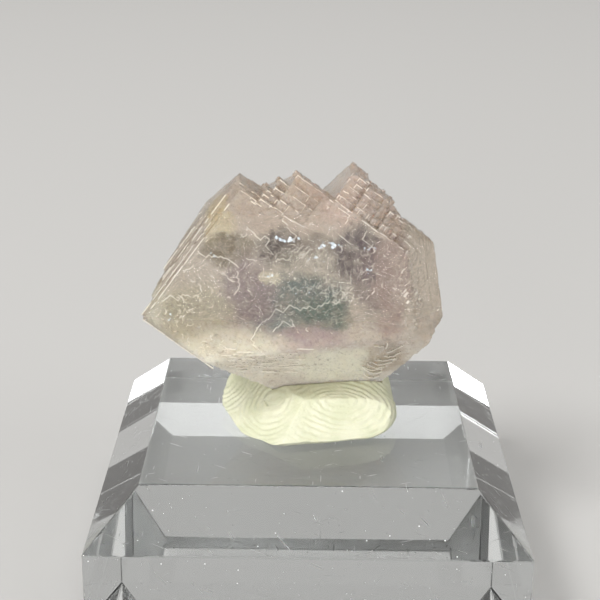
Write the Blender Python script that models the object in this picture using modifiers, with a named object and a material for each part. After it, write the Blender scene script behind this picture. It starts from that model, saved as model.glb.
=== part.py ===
"""A fluorite crystal held by mineral putty on a clear, bevelled display base.

Metres, +Z up. The origin is the middle of the base's underside, and the crystal's large cube face
looks towards -Y. The crystal is worked out in its own cube axes, as a stack of growth plates
parallel to that face, and is then turned into place.
"""
import math
import random
from collections import namedtuple

import bmesh
import bpy
from mathutils import Matrix, Vector

MM = 0.001
GAP = 0.3 * MM

# Display base: a 1.5 x 1.5 x 0.5 inch block with its top edges cut at 45 degrees
BASE_SIDE = 38.1 * MM
BASE_HEIGHT = 12.7 * MM
BASE_BEVEL = 4.5 * MM

# Where the middle of the crystal's large face is, and how the crystal is turned
FACE_CENTRE = Vector((-1.7, -6.0, 28.5)) * MM
FACE_TILT = math.radians(3)
FACE_TURN = math.radians(0)
FACE_ROLL = math.radians(54)

# The cube faces, as distances from the face's middle along the crystal's axes. The falling axis
# runs down to the right on the large face, the rising axis up to the right, and depth goes in
FALL_LOW = -8.4 * MM
FALL_HIGH = 13.8 * MM
RISE_LOW = -10.85 * MM
RISE_HIGH = 10.7 * MM
DEPTH = 13.5 * MM

# The upper left side bulges as it goes in: how much per depth, and up to what depth. Its two ends
# are drawn in: how much per rise, and how far out each of the two lines starts
BULGE_SLOPE = 0.22
BULGE_DEPTH = 5.5 * MM
BULGE_ENDS = ((0.10, 9.25 * MM), (-0.17, 10.5 * MM))

# The octahedral faces: the way each looks along the falling and the rising axis, its reach that
# way at the large face in millimetres, and how much its reach grows with depth
Facet = namedtuple("Facet", "falling rising reach growth")
FACETS = (
    Facet(1, 1, 14.3, 1.0),
    Facet(1, 1, 22.6, -1.0),
    Facet(1, -1, 9.2, 1.4),
    Facet(1, -1, 25.4, -1.0),
    Facet(-1, -1, 20.3, -1.0),
    Facet(-1, 1, 18.0, -1.0),
)

# Growth plates: their thickness, and how far their edges step in and out of the ideal faces
PLATE_THIN = 0.3 * MM
PLATE_THICK = 0.7 * MM
PLATE_LAP = 0.04 * MM
CUBE_STEP = 0.12 * MM
OCTAHEDRAL_STEP = 0.16 * MM
SEED = 11

# Cube corners that stand up like teeth along the upper right, from left to right: where each
# starts along the falling axis, how high it is at the large face, how high it gets further in,
# the number of ledges between the two, how deep each ledge is, and the depth from which the
# tooth falls away again, all in millimetres
Tooth = namedtuple("Tooth", "start front full ledges ledge_depth crest")
TEETH = (
    Tooth(-9.90, 3.90, 4.05, 1, 1.50, 5.0),
    Tooth(-6.50, 4.30, 5.00, 2, 0.60, 3.0),
    Tooth(-5.90, 4.30, 6.20, 3, 0.80, 3.0),
    Tooth(-5.05, 4.40, 7.70, 4, 0.25, 2.2),
    Tooth(-2.20, 7.20, 7.75, 1, 0.25, 2.2),
    Tooth(-1.24, 8.05, 10.70, 5, 0.28, 6.0),
    Tooth(0.60, 8.05, 10.45, 4, 0.35, 5.0),
    Tooth(3.40, 8.10, 9.90, 3, 0.45, 3.5),
    Tooth(4.60, 8.10, 9.70, 3, 0.60, 3.5),
)
TOOTH_FALL = 0.4

# Thin growth layers that end in wavy steps on the large face: corners along the falling and the
# rising axis, in millimetres
LAYER_HEIGHT = 0.18 * MM
LEFT_LAYER = (
    (-8.1, -3.0), (-7.2, -2.4), (-6.3, -1.9), (-5.3, -1.7), (-4.6, -1.8), (-4.1, -2.6),
    (-3.4, -3.3), (-3.3, -4.0), (-4.3, -5.6), (-4.9, -7.3), (-6.4, -8.2), (-8.0, -8.1),
)
UPPER_LAYER = (
    (-5.9, 1.6), (-4.6, 1.3), (-4.2, 1.8), (-3.6, 1.6), (-3.3, 1.0), (-2.4, 0.8), (-1.3, 1.5),
    (-0.1, 3.3), (1.1, 5.7), (2.3, 5.6), (2.9, 7.6), (-0.4, 7.7), (-1.9, 4.1), (-5.5, 3.6),
)
LOWER_LAYER = (
    (0.2, -6.3), (0.0, -5.3), (0.4, -4.0), (0.4, -3.3), (0.9, -2.8), (1.3, -1.9), (2.2, -1.7),
    (2.6, -1.3), (3.2, -0.9), (3.5, -0.4), (4.5, 1.0), (6.8, 0.8), (8.7, 1.6), (9.6, -0.9),
    (7.2, -1.8), (4.2, -4.4), (2.3, -5.9), (1.0, -6.7),
)

# Putty: corners of the lump seen from above, in millimetres, its heights, and its fullness
PUTTY_OUTLINE = (
    (-3.6, -7.5), (-0.6, -7.1), (3.4, -6.3), (7.0, -5.3), (8.3, -2.0), (7.6, 3.6), (3.4, 6.4),
    (-2.6, 6.6), (-7.2, 4.6), (-8.5, 0.9), (-7.0, -4.2),
)
PUTTY_WAIST = 14.0 * MM
PUTTY_FRONT_TOP = 16.4 * MM
PUTTY_BACK_TOP = 19.4 * MM
PUTTY_FULLNESS_ABOVE = 0.5
PUTTY_FULLNESS_BELOW = 0.3
PUTTY_SEGMENTS = 20
PUTTY_RINGS = 10
# How far past the ideal octahedral faces, on falling and rising together, the putty is hollowed
SEAT_CLEARANCE = 0.7 * MM


def clear_scene():
    """Remove every object of the scene that the script starts in."""
    for thing in list(bpy.data.objects):
        bpy.data.objects.remove(thing, do_unlink=True)


def make_collection(name):
    """Add a collection to the scene."""
    collection = bpy.data.collections.new(name)
    bpy.context.scene.collection.children.link(collection)
    return collection


def make_material(name, colour, roughness, transmission=0.0, ior=1.5):
    """A Principled material with one colour."""
    material = bpy.data.materials.new(name)
    material.use_nodes = True
    shader = material.node_tree.nodes["Principled BSDF"]
    shader.inputs["Base Color"].default_value = (*colour, 1.0)
    shader.inputs["Roughness"].default_value = roughness
    shader.inputs["Metallic"].default_value = 0.0
    shader.inputs["Transmission Weight"].default_value = transmission
    shader.inputs["IOR"].default_value = ior
    return material


def fluorite_material():
    """Cloudy, faintly lilac and straw-coloured fluorite."""
    return make_material("fluorite", (0.50, 0.43, 0.40), 0.2, transmission=0.7, ior=1.434)


def putty_material():
    """Off-white mineral putty."""
    return make_material("putty", (0.83, 0.83, 0.70), 0.6)


def acrylic_material():
    """Clear acrylic."""
    return make_material("acrylic", (0.95, 0.96, 0.97), 0.03, transmission=1.0, ior=1.49)


def add_object(name, mesh, collection):
    """Put a mesh into the scene as an object."""
    thing = bpy.data.objects.new(name, mesh)
    collection.objects.link(thing)
    return thing


def clipped(outline, direction, limit):
    """The part of an outline whose distance along a direction is no more than a limit."""
    kept = []
    for here, there in zip(outline, outline[1:] + outline[:1]):
        over_here = here.dot(direction) - limit
        over_there = there.dot(direction) - limit
        if over_here <= 0:
            kept.append(here)
        if over_here * over_there < 0:
            kept.append(here.lerp(there, over_here / (over_here - over_there)))
    return kept


def tooth_top(tooth, depth):
    """How high a tooth stands at a depth behind the large face."""
    climbed = min(int(depth / (tooth.ledge_depth * MM)), tooth.ledges)
    height = (tooth.front + (tooth.full - tooth.front) * climbed / tooth.ledges) * MM
    return height - TOOTH_FALL * max(depth - tooth.crest * MM, 0)


def plate_outline(depth, dice):
    """Corners of the growth plate at a depth, over the falling and the rising axis."""
    bulge = BULGE_SLOPE * min(depth, BULGE_DEPTH)
    left = FALL_LOW - bulge + dice.choice((-1, 0, 0, 1)) * CUBE_STEP
    right = FALL_HIGH - dice.choice((0, 1, 3)) * CUBE_STEP
    low = RISE_LOW + dice.choice((0, 0, 1, 2)) * CUBE_STEP
    outline = [Vector((left, low)), Vector((right, low))]
    end = right
    for tooth in reversed(TEETH):
        top = tooth_top(tooth, depth)
        start = max(left, tooth.start * MM)
        outline.append(Vector((end, top)))
        outline.append(Vector((start, top)))
        end = start
    for facet in FACETS:
        direction = Vector((facet.falling, facet.rising))
        reach = facet.reach * MM + facet.growth * depth + dice.choice((-1, 0, 1)) * OCTAHEDRAL_STEP
        outline = clipped(outline, direction, reach)
    for lean, reach in BULGE_ENDS:
        outline = clipped(outline, Vector((-1, lean)), reach + dice.choice((-1, 0, 1)) * CUBE_STEP)
    return outline


def outline_solid(name, outline, back, front, collection):
    """A flat outline in the crystal's axes, as a closed mesh between two heights."""
    curve = bpy.data.curves.new(name, "CURVE")
    curve.dimensions = "2D"
    curve.fill_mode = "BOTH"
    curve.extrude = (front - back) / 2
    spline = curve.splines.new("POLY")
    spline.points.add(len(outline) - 1)
    for point, corner in zip(spline.points, outline):
        point.co = (corner.x, corner.y, 0, 1)
    spline.use_cyclic_u = True
    guide = add_object(name, curve, collection)
    bpy.context.view_layer.update()
    depsgraph = bpy.context.evaluated_depsgraph_get()
    mesh = bpy.data.meshes.new_from_object(guide.evaluated_get(depsgraph))
    bpy.data.objects.remove(guide, do_unlink=True)
    bpy.data.curves.remove(curve)
    shape = bmesh.new()
    shape.from_mesh(mesh)
    bmesh.ops.remove_doubles(shape, verts=shape.verts, dist=0.001 * MM)
    bmesh.ops.translate(shape, verts=shape.verts, vec=(0, 0, (front + back) / 2))
    bmesh.ops.recalc_face_normals(shape, faces=shape.faces)
    shape.to_mesh(mesh)
    shape.free()
    return add_object(name, mesh, collection)


def growth_plates(collection):
    """The stack of plates, from the large face to the back."""
    dice = random.Random(SEED)
    plates = []
    depth = 0.0
    while depth < DEPTH:
        thickness = min(dice.uniform(PLATE_THIN, PLATE_THICK), DEPTH - depth)
        outline = plate_outline(depth + thickness / 2, dice)
        back = -depth - thickness
        lap = 0.0 if depth + thickness >= DEPTH else PLATE_LAP
        plates.append(outline_solid("plate", outline, back - lap, -depth, collection))
        depth += thickness
    return plates


def face_layers(collection):
    """The thin layers on the large face."""
    layers = []
    for corners in (LEFT_LAYER, UPPER_LAYER, LOWER_LAYER):
        outline = [Vector(corner) * MM for corner in corners]
        layers.append(outline_solid("layer", outline, -PLATE_LAP, LAYER_HEIGHT, collection))
    return layers


def united(name, pieces, collection):
    """One closed solid from pieces that overlap."""
    body = pieces[0]
    others = make_collection(name + " others")
    for piece in pieces[1:]:
        collection.objects.unlink(piece)
        others.objects.link(piece)
    join = body.modifiers.new("join", "BOOLEAN")
    join.operation = "UNION"
    join.solver = "EXACT"
    join.operand_type = "COLLECTION"
    join.collection = others
    depsgraph = bpy.context.evaluated_depsgraph_get()
    mesh = bpy.data.meshes.new_from_object(body.evaluated_get(depsgraph))
    for piece in pieces:
        bpy.data.objects.remove(piece, do_unlink=True)
    bpy.data.collections.remove(others)
    mesh.name = name
    return mesh


def crystal_axes():
    """Turns the crystal's falling, rising and outward axes into place."""
    level = Vector((math.cos(FACE_TURN), math.sin(FACE_TURN), 0))
    outward = Vector((math.sin(FACE_TURN), -math.cos(FACE_TURN), 0)) * math.cos(FACE_TILT)
    outward.z = math.sin(FACE_TILT)
    upward = outward.cross(level)
    rising = math.cos(FACE_ROLL) * level + math.sin(FACE_ROLL) * upward
    falling = math.sin(FACE_ROLL) * level - math.cos(FACE_ROLL) * upward
    turn = Matrix((falling, rising, outward)).transposed().to_4x4()
    return Matrix.Translation(FACE_CENTRE) @ turn


def make_crystal(collection, guides):
    """The fluorite crystal: growth plates and face layers in one solid."""
    pieces = growth_plates(guides) + face_layers(guides)
    mesh = united("crystal", pieces, guides)
    mesh.transform(crystal_axes())
    mesh.materials.clear()
    mesh.materials.append(fluorite_material())
    return add_object("crystal", mesh, collection)


def make_seat_cutter(guides):
    """The crystal's ideal form with a little clearance, which hollows the putty."""
    low = Vector((TEETH[0].start * MM, RISE_LOW, -DEPTH)) - Vector((GAP, GAP, GAP))
    high = Vector((FALL_HIGH, RISE_HIGH, LAYER_HEIGHT)) + Vector((GAP, GAP, GAP))
    shape = bmesh.new()
    bmesh.ops.create_cube(shape, size=1)
    bmesh.ops.scale(shape, vec=high - low, verts=shape.verts)
    bmesh.ops.translate(shape, vec=(high + low) / 2, verts=shape.verts)
    for facet in FACETS:
        normal = Vector((facet.falling, facet.rising, facet.growth))
        reach = facet.reach * MM + SEAT_CLEARANCE
        cut = bmesh.ops.bisect_plane(
            shape,
            geom=shape.verts[:] + shape.edges[:] + shape.faces[:],
            plane_co=normal * reach / normal.length_squared,
            plane_no=normal,
            clear_outer=True,
        )
        rim = [part for part in cut["geom_cut"] if isinstance(part, bmesh.types.BMEdge)]
        bmesh.ops.holes_fill(shape, edges=rim)
    bmesh.ops.recalc_face_normals(shape, faces=shape.faces)
    mesh = bpy.data.meshes.new("putty seat")
    shape.to_mesh(mesh)
    shape.free()
    mesh.transform(crystal_axes())
    cutter = add_object("putty seat", mesh, guides)
    cutter.hide_render = True
    cutter.display_type = "WIRE"
    return cutter


def putty_reach(angle):
    """How far the putty reaches from its middle in a direction."""
    corners = sorted((math.atan2(y, x), math.hypot(x, y)) for x, y in PUTTY_OUTLINE)
    first_angle, first_reach = corners[0]
    last_angle, last_reach = corners[-1]
    corners.append((first_angle + math.tau, first_reach))
    corners.insert(0, (last_angle - math.tau, last_reach))
    for (before, near), (after, far) in zip(corners, corners[1:]):
        if before <= angle <= after:
            along = (angle - before) / (after - before)
            smooth = (1 - math.cos(math.pi * along)) / 2
            return (near + (far - near) * smooth) * MM
    return first_reach * MM


def putty_top(y):
    """The height of the lump's top, which rises behind the crystal."""
    along = min(max((y / MM + 3.0) / 7.0, 0.0), 1.0)
    smooth = (1 - math.cos(math.pi * along)) / 2
    return PUTTY_FRONT_TOP + (PUTTY_BACK_TOP - PUTTY_FRONT_TOP) * smooth


def make_putty(collection, seat):
    """A soft lump, flat underneath and hollowed by the crystal it holds."""
    floor = BASE_HEIGHT + GAP
    shape = bmesh.new()
    bmesh.ops.create_uvsphere(
        shape, u_segments=PUTTY_SEGMENTS, v_segments=PUTTY_RINGS, radius=1
    )
    for vert in shape.verts:
        level = vert.co.z
        fullness = PUTTY_FULLNESS_ABOVE if level > 0 else PUTTY_FULLNESS_BELOW
        angle = math.atan2(vert.co.y, vert.co.x)
        reach = putty_reach(angle) * vert.co.xy.length ** fullness
        vert.co.x = reach * math.cos(angle)
        vert.co.y = reach * math.sin(angle)
        if level >= 0:
            vert.co.z = PUTTY_WAIST + (putty_top(vert.co.y) - PUTTY_WAIST) * level
        else:
            vert.co.z = max(PUTTY_WAIST + (PUTTY_WAIST - floor) * 1.3 * level, floor)
    mesh = bpy.data.meshes.new("putty")
    shape.to_mesh(mesh)
    shape.free()
    mesh.materials.append(putty_material())
    putty = add_object("putty", mesh, collection)
    soften = putty.modifiers.new("soften", "SUBSURF")
    soften.levels = 1
    soften.render_levels = 1
    hollow = putty.modifiers.new("hollow", "BOOLEAN")
    hollow.operation = "DIFFERENCE"
    hollow.object = seat
    putty.data.shade_smooth()
    return putty


def make_base(collection):
    """The clear block, with its four top edges cut at 45 degrees."""
    shape = bmesh.new()
    bmesh.ops.create_cube(shape, size=1)
    bmesh.ops.scale(shape, vec=(BASE_SIDE, BASE_SIDE, BASE_HEIGHT), verts=shape.verts)
    bmesh.ops.translate(shape, vec=(0, 0, BASE_HEIGHT / 2), verts=shape.verts)
    rim = [edge for edge in shape.edges if all(vert.co.z > BASE_HEIGHT / 2 for vert in edge.verts)]
    bmesh.ops.bevel(shape, geom=rim, offset=BASE_BEVEL, segments=1, affect="EDGES")
    mesh = bpy.data.meshes.new("display_base")
    shape.to_mesh(mesh)
    shape.free()
    mesh.materials.append(acrylic_material())
    return add_object("display_base", mesh, collection)


def main():
    clear_scene()
    parts = make_collection("fluorite on a display base")
    guides = make_collection("cutters")
    make_crystal(parts, guides)
    make_putty(parts, make_seat_cutter(guides))
    make_base(parts)


main()
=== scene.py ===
"""The looks of the fluorite crystal, its putty and its clear display base.

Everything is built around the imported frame. Lengths are in millimetres where a name says so, and
in metres elsewhere. The crystal is worked out in its own cube axes: falling (down to the right on
its large face), rising (up to the right) and outward.
"""
import math
import random
from collections import namedtuple

import bmesh
import bpy
from mathutils import Matrix, Vector, noise


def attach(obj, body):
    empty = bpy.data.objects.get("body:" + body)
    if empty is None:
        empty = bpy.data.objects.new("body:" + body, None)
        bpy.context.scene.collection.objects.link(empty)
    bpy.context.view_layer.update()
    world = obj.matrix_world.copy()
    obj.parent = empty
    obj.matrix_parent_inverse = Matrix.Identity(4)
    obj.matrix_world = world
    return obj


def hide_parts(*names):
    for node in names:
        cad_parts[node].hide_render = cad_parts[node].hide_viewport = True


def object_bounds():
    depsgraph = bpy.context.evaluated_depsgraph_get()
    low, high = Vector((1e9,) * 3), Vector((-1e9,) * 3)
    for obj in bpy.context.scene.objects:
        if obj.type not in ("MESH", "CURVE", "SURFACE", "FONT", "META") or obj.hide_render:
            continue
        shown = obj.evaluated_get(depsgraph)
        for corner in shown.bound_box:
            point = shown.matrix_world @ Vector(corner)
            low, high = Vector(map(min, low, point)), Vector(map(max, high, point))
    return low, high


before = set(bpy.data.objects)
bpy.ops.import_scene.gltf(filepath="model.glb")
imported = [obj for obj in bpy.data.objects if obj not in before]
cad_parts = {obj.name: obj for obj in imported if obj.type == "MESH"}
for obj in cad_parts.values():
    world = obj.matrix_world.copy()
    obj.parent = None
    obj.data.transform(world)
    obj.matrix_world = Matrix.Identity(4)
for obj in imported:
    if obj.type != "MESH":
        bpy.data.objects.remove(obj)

CAD_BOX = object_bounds()
MM = 0.001
SEED = 5

# How the crystal's axes lie in the frame, as in the solid that its mesh replaces
FACE_CENTRE = Vector((-1.7, -6.0, 28.5)) * MM
FACE_TILT = math.radians(3)
FACE_ROLL = math.radians(54)

# The crystal's ideal faces in millimetres, as in the solid
FALL_LOW = -8.4
FALL_HIGH = 13.8
RISE_LOW = -10.85
DEPTH = 13.5
BULGE_SLOPE = 0.22
BULGE_DEPTH = 5.5
BULGE_ENDS = ((0.10, 9.25), (-0.17, 10.5))
Facet = namedtuple("Facet", "falling rising reach growth")
FACETS = (
    Facet(1, 1, 14.3, 1.0),
    Facet(1, 1, 22.6, -1.0),
    Facet(1, -1, 9.2, 1.4),
    Facet(1, -1, 25.4, -1.0),
    Facet(-1, -1, 20.3, -1.0),
    Facet(-1, 1, 18.0, -1.0),
)

# The teeth, as in the solid, and how late their small ledges may start behind the large face
Tooth = namedtuple("Tooth", "start front full ledges ledge_depth crest ragged")
TEETH = (
    Tooth(-9.90, 3.90, 4.05, 1, 1.50, 5.0, 0.2),
    Tooth(-6.50, 4.30, 5.00, 2, 0.60, 3.0, 0.8),
    Tooth(-5.90, 4.30, 6.20, 3, 0.80, 3.0, 1.0),
    Tooth(-5.05, 4.40, 7.70, 4, 0.25, 2.2, 0.7),
    Tooth(-2.20, 7.20, 7.75, 1, 0.25, 2.2, 0.1),
    Tooth(-1.24, 8.05, 10.65, 5, 0.28, 6.0, 0.9),
    Tooth(0.60, 8.05, 10.40, 4, 0.35, 5.0, 1.6),
    Tooth(3.40, 8.10, 9.90, 3, 0.45, 3.5, 1.0),
    Tooth(4.60, 8.10, 9.70, 3, 0.60, 3.5, 0.7),
)
TOOTH_FALL = 0.4
TOOTH_CUT = 0.12
PEAK_CUT = 0.34
PEAK_HEIGHT = 10.5
LEDGE_WIDTHS = (0.3, 1.25)

# Fine growth plates: thickness near the large face, further in and at the back
PLATE_ZONES = ((1.8, 0.10), (8.0, 0.16), (DEPTH, 0.32))
PLATE_LAP = 0.02
STEP_RANGE = (0.10, 0.42)
PLATE_JITTER = 0.05
EDGE_PIECE = 0.3
CUBE_WAVE = 0.02
OCTAHEDRAL_WAVE = 0.07

# Thin raised lines on the large face, as corners along falling and rising
LINES = (
    ((-8.0, -3.1), (-7.16, -2.47), (-6.3, -1.94), (-5.28, -1.78), (-4.56, -1.84), (-4.07, -2.67),
     (-3.36, -3.34), (-3.26, -4.11)),
    ((-5.26, -3.08), (-4.6, -3.2), (-3.94, -3.05)),
    ((-5.94, 1.62), (-4.59, 1.33), (-4.27, 1.82), (-3.69, 1.66), (-3.38, 1.06), (-2.41, 0.84),
     (-1.32, 1.54), (-0.16, 3.35)),
    ((0.35, -6.4), (0.08, -5.38), (0.53, -4.08), (0.46, -3.39), (1.0, -2.86), (1.33, -1.89),
     (2.3, -1.78), (2.63, -1.29), (3.28, -0.92), (3.54, -0.35), (4.51, 1.08)),
    ((0.35, -6.4), (1.19, -6.89), (2.47, -7.05), (4.29, -5.43)),
    ((1.5, -4.81), (1.64, -3.72), (2.64, -3.21)),
    ((-8.11, -8.34), (-7.8, -7.5), (-6.92, -7.45), (-6.96, -6.75), (-6.2, -6.55)),
    ((-7.04, 3.61), (-6.04, 3.77)),
    ((1.01, 5.76), (2.21, 5.71)),
    ((-3.96, 4.2), (-2.96, 4.4), (-1.97, 4.49)),
    ((-3.89, 4.1), (-3.2, 3.6), (-2.4, 3.5), (-2.0, 2.9)),
    ((-0.6, 7.6), (0.5, 7.7), (0.7, 6.9)),
    ((2.6, 7.5), (2.7, 6.7), (3.9, 6.6)),
)
LINE_WIDTHS = (0.06, 0.14)
LINE_HEIGHTS = (0.10, 0.17)
LINE_STEP = 0.52
LINE_ROOT = 0.45
STRAY_LINES = 45
AXIS_TURNS = (0.0, 0.5, 1.0, 1.5)
FRONT_MARGIN = 0.3
FRONT_DEPTH = 4.5
# Curved ridges low on the right, where the large face turns under, as places to the right and up
FAN_LINES = (
    ((7.46, -6.27), (7.9, -6.35), (8.31, -6.33)),
    ((8.59, -5.86), (8.62, -6.3), (8.5, -6.68)),
    ((8.69, -7.18), (9.1, -7.02), (9.6, -6.68), (10.0, -6.3)),
    ((8.45, -7.72), (8.9, -7.86), (9.4, -7.7), (9.9, -7.3)),
    ((7.89, -8.16), (8.31, -8.4), (8.9, -8.34), (9.5, -8.1)),
    ((7.46, -8.62), (7.93, -8.99), (8.5, -8.88), (9.2, -8.6)),
    ((6.98, -8.79), (7.46, -9.23), (7.93, -9.48), (8.59, -9.31)),
    ((6.55, -9.17), (6.98, -9.48), (7.36, -9.72), (7.93, -9.68), (8.41, -9.57)),
    ((6.66, -9.39), (7.27, -10.05), (7.93, -10.23), (8.41, -9.99)),
    ((6.75, -10.37), (7.27, -10.82), (7.74, -10.89), (8.22, -10.67)),
)
FAN_WIDTHS = (0.12, 0.18)
FAN_HEIGHTS = (0.22, 0.36)
# Level ripples low on the left: how many, and where they start (to the right, up)
RIPPLES = 46
RIPPLE_ENDS = ((-6.8, 0.6), (-9.6, -6.4))
RIPPLE_WIDTHS = (0.08, 0.16)
RIPPLE_HEIGHTS = (0.14, 0.26)
# Clusters of short threads: where (to the right, up), how far round it, how many, how level they run
THREADS = (
    (0.0, -0.5, 6.5, 4.0, 150, 0.0), (1.2, 2.3, 3.0, 0.8, 130, 0.0), (4.0, -1.2, 1.6, 1.0, 70, 0.0),
    (6.6, 1.6, 1.2, 2.2, 30, 0.0), (-9.6, -3.0, 2.0, 2.2, 60, 0.0), (-4.6, 0.6, 1.2, 1.0, 26, 0.0),
    (-3.4, -7.9, 3.2, 0.9, 150, 0.8), (10.2, 0.6, 0.5, 4.6, 130, 0.0), (-7.5, -6.6, 2.0, 1.0, 60, 0.5))
THREAD_WIDTHS = (0.03, 0.06)
THREAD_HEIGHTS = (0.03, 0.10)

# Small cube-shaped growths: where (to the right, up), how far round it, how many, how wide, how high
Patch = namedtuple("Patch", "right up reach rise count widths heights")
PATCHES = (
    Patch(0.0, 0.0, 13.0, 9.0, 900, (0.10, 0.45), (0.02, 0.10)),
    Patch(1.2, 2.2, 4.2, 1.5, 170, (0.12, 0.42), (0.05, 0.14)),
    Patch(2.6, -1.3, 4.0, 2.2, 130, (0.10, 0.36), (0.04, 0.11)),
    Patch(7.4, 2.0, 1.6, 4.0, 110, (0.10, 0.36), (0.04, 0.12)),
    Patch(-9.6, -3.4, 2.2, 2.0, 70, (0.12, 0.40), (0.04, 0.12)),
    Patch(-4.4, 0.4, 1.6, 1.2, 50, (0.14, 0.50), (0.05, 0.14)),
    Patch(6.8, -6.0, 2.4, 1.0, 90, (0.12, 0.40), (0.05, 0.14)),
)
COLUMN_GROWTHS = 600
UNDER_GROWTHS = 560
CREST_GROWTHS = 420
# Clusters of tilted facets (right, up, reach, rise, count, size), and how they face, in degrees
GLINT_PATCHES = (
    (-0.4, 3.5, 0.9, 0.4, 15, 0.20), (3.2, 3.2, 1.1, 0.4, 17, 0.22), (6.9, 3.0, 0.8, 0.3, 9, 0.16),
    (2.0, 2.0, 0.9, 0.4, 9, 0.16), (6.9, 0.9, 0.4, 0.4, 7, 0.15), (-10.6, -3.5, 0.5, 0.5, 6, 0.16),
    (-2.0, 0.4, 0.6, 0.4, 5, 0.14), (-7.2, 2.2, 0.8, 0.6, 4, 0.14), (1.0, -1.5, 4.0, 2.0, 7, 0.10))
GLINT_TURN = -7.0
GLINT_TILT = 11.4

# The putty in millimetres, as in the solid, with the two hollows pressed in its front
BASE_SIDE = 38.1
BASE_HEIGHT = 12.7
BASE_BEVEL = 4.5
EDGE_SOFT = 0.12
PUTTY_OUTLINE = (
    (-3.6, -7.5), (-0.6, -7.1), (3.4, -6.3), (7.0, -5.3), (8.3, -2.0), (7.6, 3.6), (3.4, 6.4),
    (-2.6, 6.6), (-7.2, 4.6), (-8.5, 0.9), (-7.0, -4.2))
PUTTY_WAIST = 14.0
PUTTY_FRONT_TOP = 16.4
PUTTY_BACK_TOP = 19.4
PUTTY_FULLNESS_ABOVE = 0.5
PUTTY_FULLNESS_BELOW = 0.3
PUTTY_SEGMENTS = 480
PUTTY_TURNS = (-9, -6, -3, 0, 3, 6, 9)
PUTTY_RINGS = 190
SEAT_CLEARANCE = 0.06
SEAT_MARGIN = 0.03
PUTTY_FOOT = BASE_HEIGHT + 0.01
CREST_FOOT = Vector((-2.5, -7.5, 12.9))
CREST_TOP = Vector((-0.5, -4.3, 16.3))
LEFT_FOOT = Vector((-6.5, -3.2, 12.9))
RIGHT_FOOT = Vector((6.8, -5.3, 12.9))
PRESS_EASE = 0.12
RIDGE_SPACING = 0.5
RIDGE_HEIGHT = 0.062
# Middles of the fine pressed ridges and how far each is stretched sideways
WHORLS = (
    (Vector((-4.0, -3.6, 16.6)), 1.0),
    (Vector((2.9, -4.0, 16.4)), 1.55),
    (Vector((8.6, 1.0, 17.5)), 1.0),
    (Vector((-8.6, 2.0, 16.0)), 1.0),
    (Vector((3.0, 11.5, 21.5)), 1.3),
)


def srgb(red, green, blue):
    """A linear colour from the usual 0 to 255 values."""
    linear = []
    for value in (red, green, blue):
        value = value / 255
        linear.append(value / 12.92 if value <= 0.04045 else ((value + 0.055) / 1.055) ** 2.4)
    return (*linear, 1.0)


# Outlines


def limited(value):
    """A value kept between nothing and one."""
    return min(max(value, 0.0), 1.0)


def clipped(outline, direction, limit):
    """The part of an outline whose distance along a direction is no more than a limit."""
    kept = []
    for here, there in zip(outline, outline[1:] + outline[:1]):
        over_here = here.dot(direction) - limit
        over_there = there.dot(direction) - limit
        if over_here <= 0:
            kept.append(here)
        if over_here * over_there < 0:
            kept.append(here.lerp(there, over_here / (over_here - over_there)))
    return kept


def along_axes(right, up):
    """The falling and rising place that someone facing the crystal sees to the right and up."""
    x = math.sin(FACE_ROLL) * right - math.cos(FACE_ROLL) * up
    y = math.cos(FACE_ROLL) * right + math.sin(FACE_ROLL) * up
    return Vector((x, y))


def surface_depth(spot):
    """How far behind the large face the front of the crystal lies at a place."""
    over = [0.0]
    for facet in FACETS:
        if facet.growth > 0:
            over.append((facet.falling * spot.x + facet.rising * spot.y - facet.reach) / facet.growth)
    return max(over)


def wavy(outline, depth, cube_wave, other_wave):
    """An outline with points added along its edges and moved in and out a little."""
    points = []
    for here, there in zip(outline, outline[1:] + outline[:1]):
        along = there - here
        length = along.length
        if length < 1e-6:
            continue
        along_axis = min(abs(along.x), abs(along.y)) < 0.02 * length
        wave = cube_wave if along_axis else other_wave
        outwards = Vector((along.y, -along.x)) / length
        count = max(1, round(length / EDGE_PIECE))
        points.append(here)
        for step in range(1, count):
            spot = here.lerp(there, step / count)
            push = wave * noise.noise(Vector((spot.x * 1.7, spot.y * 1.7, depth * 2.3 + 7)))
            points.append(spot + outwards * push)
    return points


def ledge_cells(dice):
    """The small ledges that each tooth is made of: start, tooth and how late it begins."""
    cells = []
    ends = [tooth.start for tooth in TEETH[1:]] + [FALL_HIGH]
    for tooth, end in zip(TEETH, ends):
        start = tooth.start
        while start < end - LEDGE_WIDTHS[0]:
            lag = 0.0 if start == tooth.start else dice.uniform(0, tooth.ragged)
            cells.append((start, tooth, lag))
            start += dice.uniform(*LEDGE_WIDTHS) * (1 if tooth.ragged > 0.95 else 1.6)
    return cells


def cell_top(tooth, lag, depth):
    """How high one ledge stands at a depth behind the large face."""
    climbed = min(max(int((depth - lag) / tooth.ledge_depth), 0), tooth.ledges)
    height = tooth.front + (tooth.full - tooth.front) * climbed / tooth.ledges
    return height - TOOTH_FALL * max(depth - tooth.crest, 0)


class Stepper:
    """Follows a value that changes with depth, in uneven jumps, as striations do."""

    def __init__(self, dice):
        self.dice = dice
        self.value = None
        self.jump = 0.0

    def follow(self, target):
        """The value at the next depth: as it was, until it has to jump to its target."""
        if self.value is None or abs(target - self.value) >= self.jump:
            self.value = target
            self.jump = self.dice.uniform(*STEP_RANGE)
        return self.value


def plate_depths():
    """Front depth and thickness of every fine plate."""
    depth = 0.0
    for limit, thickness in PLATE_ZONES:
        while depth < limit - 1e-6:
            step = min(thickness, limit - depth)
            yield depth, step
            depth += step


def left_side(depth):
    """Where the crystal's left side lies at a depth, before its striations."""
    return FALL_LOW - BULGE_SLOPE * min(depth, BULGE_DEPTH)


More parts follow.
